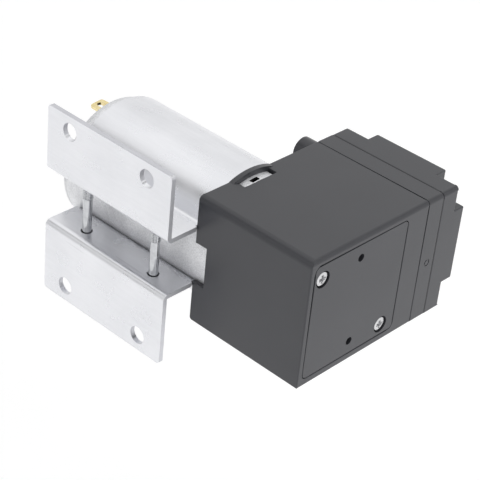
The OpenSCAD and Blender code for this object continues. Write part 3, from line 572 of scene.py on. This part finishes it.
def screw_rows(head_r, head_h, recess, shank_r, length, crown=0.35, thread_from=None, thread_r=None):
    """Rows of a pan head screw whose seat is at height 0, its head upwards.

    The head's top is z = h - crown h (r / R)^2.4, less the recess. From the depth thread_from
    the radius is r - 0.27 pitch (1 - |2 p - 1|), p the fraction of depth / pitch + turn / 360.
    """
    radii = list(DOME_RINGS * head_r)
    heights = [head_h * (1 - crown * (r / head_r) ** DOME_POWER) - recess_depth(r, head_r, recess)
               for r in radii]
    radii += [head_r, head_r, head_r - UNDER_CHAMFER, shank_r, shank_r]
    heights += [(DOME_SIDE - crown) * head_h, UNDER_CHAMFER, 0.0, 0.0, -(thread_from or length)]
    if thread_from:
        for depth in np.arange(thread_from, length - END_TAPER, PITCH / ROWS_PER_PITCH):
            part = (depth / PITCH + TURNS) % 1
            radii.append(thread_r - GROOVE * PITCH * (1 - abs(2 * part - 1)))
            heights.append(-depth)
        radii.append(thread_r * THREAD_TIP)
    else:
        heights[-1] = END_TAPER - length
        radii.append(shank_r * PLAIN_TIP)
    heights.append(-length)
    return rings(radii, heights)


def nut_rows(h):
    """Rows round the section of a hexagon nut: bore, top, 30 degree chamfer, flat, chamfer, underside.

    The hexagon's radius is flats / 2 / cos(turn), turn counted from the middle of a flat, and the
    chamfer drops by (radius - 0.96 flats / 2) tan 30.
    """
    hexagon = NUT_FLATS / 2 / np.cos((ANGLES % (np.pi / 3)) - np.pi / 6)
    land = NUT_LAND * NUT_FLATS / 2
    drop = (hexagon - land) * math.tan(NUT_CHAMFER)
    lead_r = NUT_BORE_R + NUT_LEAD
    radii = [NUT_BORE_R, NUT_BORE_R, lead_r, land, hexagon, hexagon, land, lead_r]
    heights = [NUT_LEAD, h - NUT_LEAD, h, h, h - drop, drop, 0, 0]
    return rings(radii, heights)


def fastener(node, rows, places, axis, closed=True):
    """One piece with a copy of the rows at every place; it replaces the node."""
    points, faces = np.empty((0, 3)), []
    for at in places:
        more, quads = placed_grid(rows, at, axis, len(points), closed)
        points = np.vstack([points, more])
        faces += quads
    piece = mesh_piece("fine_" + node, points, faces)
    piece.data.set_sharp_from_angle(angle=SHARP_ANGLE)
    stand_for(piece, node)


def build_fasteners():
    """Cover screws, head screws, clamp screws and clamp nuts, placed from their nodes' boxes.

    head_r and head_h are the source's sizes of a head; a cover screw's is drawn with skirt less
    radius.
    """
    near, far = low("cover_screws"), high("cover_screws")
    head_r, head_h, skirt = 2.15, 1.5, 0.15
    seat = far[0] - head_h
    rows = screw_rows(head_r - skirt, head_h, recess=1.3, shank_r=1.0, length=seat - near[0], crown=0.16)
    places = [(seat, near[1] + head_r, far[2] - head_r), (seat, far[1] - head_r, near[2] + head_r)]
    fastener("cover_screws", rows, places, (1, 0, 0))

    near, far = low("head_screws"), high("head_screws")
    head_r, head_h = 2.75, 1.8
    seat = far[1] - head_h
    rows = screw_rows(head_r, head_h, recess=1.0, shank_r=1.5, length=seat - near[1])
    places = [(x, seat, z) for x in (near[0] + head_r, far[0] - head_r)
              for z in (near[2] + head_r, far[2] - head_r)]
    fastener("head_screws", rows, places, (0, 1, 0))

    near, far = low("clamp_screws"), high("clamp_screws")
    head_r, head_h = 2.7, 2.0
    seat, axis_y = near[2] + head_h, (near[1] + far[1]) / 2
    rows = screw_rows(head_r, head_h, recess=1.1, shank_r=1.35, length=far[2] - seat, thread_from=12.2,
                      thread_r=1.5)
    fastener("clamp_screws", rows, [(x, axis_y, seat) for x in (near[0] + head_r, far[0] - head_r)],
             (0, 0, -1))

    near, far = low("clamp_nuts"), high("clamp_nuts")
    corner, axis_y = NUT_FLATS / math.sqrt(3), (near[1] + far[1]) / 2
    fastener("clamp_nuts", nut_rows(far[2] - near[2]),
             [(x, axis_y, near[2]) for x in (near[0] + corner, far[0] - corner)], (0, 0, 1), closed=False)


build_fasteners()


# Sheet seen in the crankcase's window: X from the crankcase's rear, Y from the can's axis

SHEET_X = (1.55, 2.5, 3.9, 4.25)
SHEET_Y = (-5.4, -2.7, 0.2, 5.4)
SHEET_STEPS = (8, 8, 16)
SHEET_TOP = 0.75


def window_sheet():
    """Curved sheet over the can under the window's arch, with a slot cut through it.

    Its two skins lie SHEET_GAP and SHEET_TOP above the can's. The point at (x, y) on the skin of
    radius r is (x, y, sqrt(r^2 - (y - CAN_Y)^2)). The sheet lies between the first and last of
    SHEET_X and of SHEET_Y, and the slot between the middle two. A wall stands wherever a cell of
    the sheet has no neighbour.
    """
    y_lines = [SHEET_Y[0]]
    for start, end, steps in zip(SHEET_Y, SHEET_Y[1:], SHEET_STEPS):
        y_lines += list(np.linspace(start, end, steps + 1)[1:])
    x, y = np.meshgrid(low("crankcase")[0] + np.array(SHEET_X), CAN_Y + np.array(y_lines), indexing="ij")
    skins = [np.sqrt(r * r - (y - CAN_Y) ** 2) for r in (CAN_R + SHEET_TOP, CAN_R + SHEET_GAP)]
    points = np.concatenate([np.stack([x, y, z], axis=2).reshape(-1, 3) for z in skins])
    number = np.arange(x.size).reshape(x.shape)
    under = x.size
    solid = np.ones((x.shape[0] - 1, x.shape[1] - 1), bool)
    solid[1, SHEET_STEPS[0]:SHEET_STEPS[0] + SHEET_STEPS[1]] = False
    ringed = np.pad(solid, 1)
    faces = []
    for i, j in np.argwhere(solid):
        a, b, c, d = number[i, j], number[i + 1, j], number[i + 1, j + 1], number[i, j + 1]
        faces += [(a, b, c, d), (a + under, d + under, c + under, b + under)]
        sides = (((a, b), ringed[i + 1, j]), ((b, c), ringed[i + 2, j + 1]),
                 ((c, d), ringed[i + 1, j + 2]), ((d, a), ringed[i, j + 1]))
        faces += [(q, p, p + under, q + under) for (p, q), beside in sides if not beside]
    piece = mesh_piece("window_sheet", points, faces)
    piece.data.set_sharp_from_angle(angle=SHARP_ANGLE)
    # The sheet takes the can's finish, so its walls get that finish's painted shade
    dress(piece, "motor_can")


window_sheet()


# Floor and light; the rises and falls are levels for remapped

FLOOR_DROP = 120
FLOOR_HALF = 4000
FLOOR_GREY = (0.85, 0.85, 0.85, 1)
FLOOR_ROUGHNESS = 0.9
FLOOR_GLOW = 0.28
WHITE = (1, 1, 1, 1)
TENT_RISE = (0.0, 1.0, 0.53, 1.20)
BACKDROP_RISE = (0.55, 0.85, 0.0, 0.30)
GAP_FALL = (0.0, 0.15, 0.05, 1.0)
GAP_PLANES = ((0.0, 0.857, 0.515), (0.94, 0.0, -0.34))
SIDE_LIGHT_AT = (420, 60, 70)
SIDE_LIGHT_AIM = (20, 35, 0)


def soft_light(name, at_mm, aim_mm, size_mm, watts):
    """Square area light at a point, aimed at another."""
    data = bpy.data.lights.new(name, "AREA")
    data.size = size_mm * MM
    data.energy = watts
    lamp = bpy.data.objects.new(name, data)
    at, aim = Vector(at_mm) * MM, Vector(aim_mm) * MM
    lamp.matrix_world = Matrix.Translation(at) @ (aim - at).to_track_quat("-Z", "Y").to_matrix().to_4x4()
    bpy.context.scene.collection.objects.link(lamp)


def white_tent():
    """World that is brighter overhead and towards the backdrop, with dark gaps between its lamps.

    The strength is (tent(z) + backdrop(y)) times gap(|w . m|) for each gap, with w the direction
    and m the normal of the plane that the gap lies in.
    """
    world = bpy.data.worlds.new("tent")
    world.use_nodes = True
    tree = world.node_tree
    place = add(tree, "ShaderNodeTexCoord")
    split = axes(tree, "Generated")
    strength = combined(tree, "ADD", remapped(tree, split["Z"], TENT_RISE),
                        remapped(tree, split["Y"], BACKDROP_RISE, smooth=True))
    for plane in GAP_PLANES:
        across = add(tree, "ShaderNodeVectorMath", operation="DOT_PRODUCT")
        across.inputs[1].default_value = plane
        tree.links.new(place.outputs["Generated"], across.inputs[0])
        gap = remapped(tree, combined(tree, "ABSOLUTE", across.outputs["Value"]), GAP_FALL, smooth=True)
        strength = combined(tree, "MULTIPLY", strength, gap)
    sky = tree.nodes["Background"]
    sky.inputs["Color"].default_value = WHITE
    tree.links.new(strength, sky.inputs["Strength"])
    bpy.context.scene.world = world


def build_stage():
    """Pale lit table below the part, the white tent round it and a soft light on the cover's side."""
    floor_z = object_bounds()[0][2] / MM - FLOOR_DROP
    corners = ((-1, -1), (1, -1), (1, 1), (-1, 1))
    floor = mesh_piece("floor", [(x * FLOOR_HALF, y * FLOOR_HALF, floor_z) for x, y in corners],
                       [(0, 1, 2, 3)], smooth=False)
    material, tree, shader = new_material("floor")
    shader.inputs["Base Color"].default_value = FLOOR_GREY
    shader.inputs["Roughness"].default_value = FLOOR_ROUGHNESS
    shader.inputs["Emission Color"].default_value = WHITE
    shader.inputs["Emission Strength"].default_value = FLOOR_GLOW
    floor.data.materials.append(material)
    white_tent()
    soft_light("side", SIDE_LIGHT_AT, SIDE_LIGHT_AIM, size_mm=260, watts=0.25)
    bpy.context.scene.view_settings.view_transform = "Standard"


build_stage()
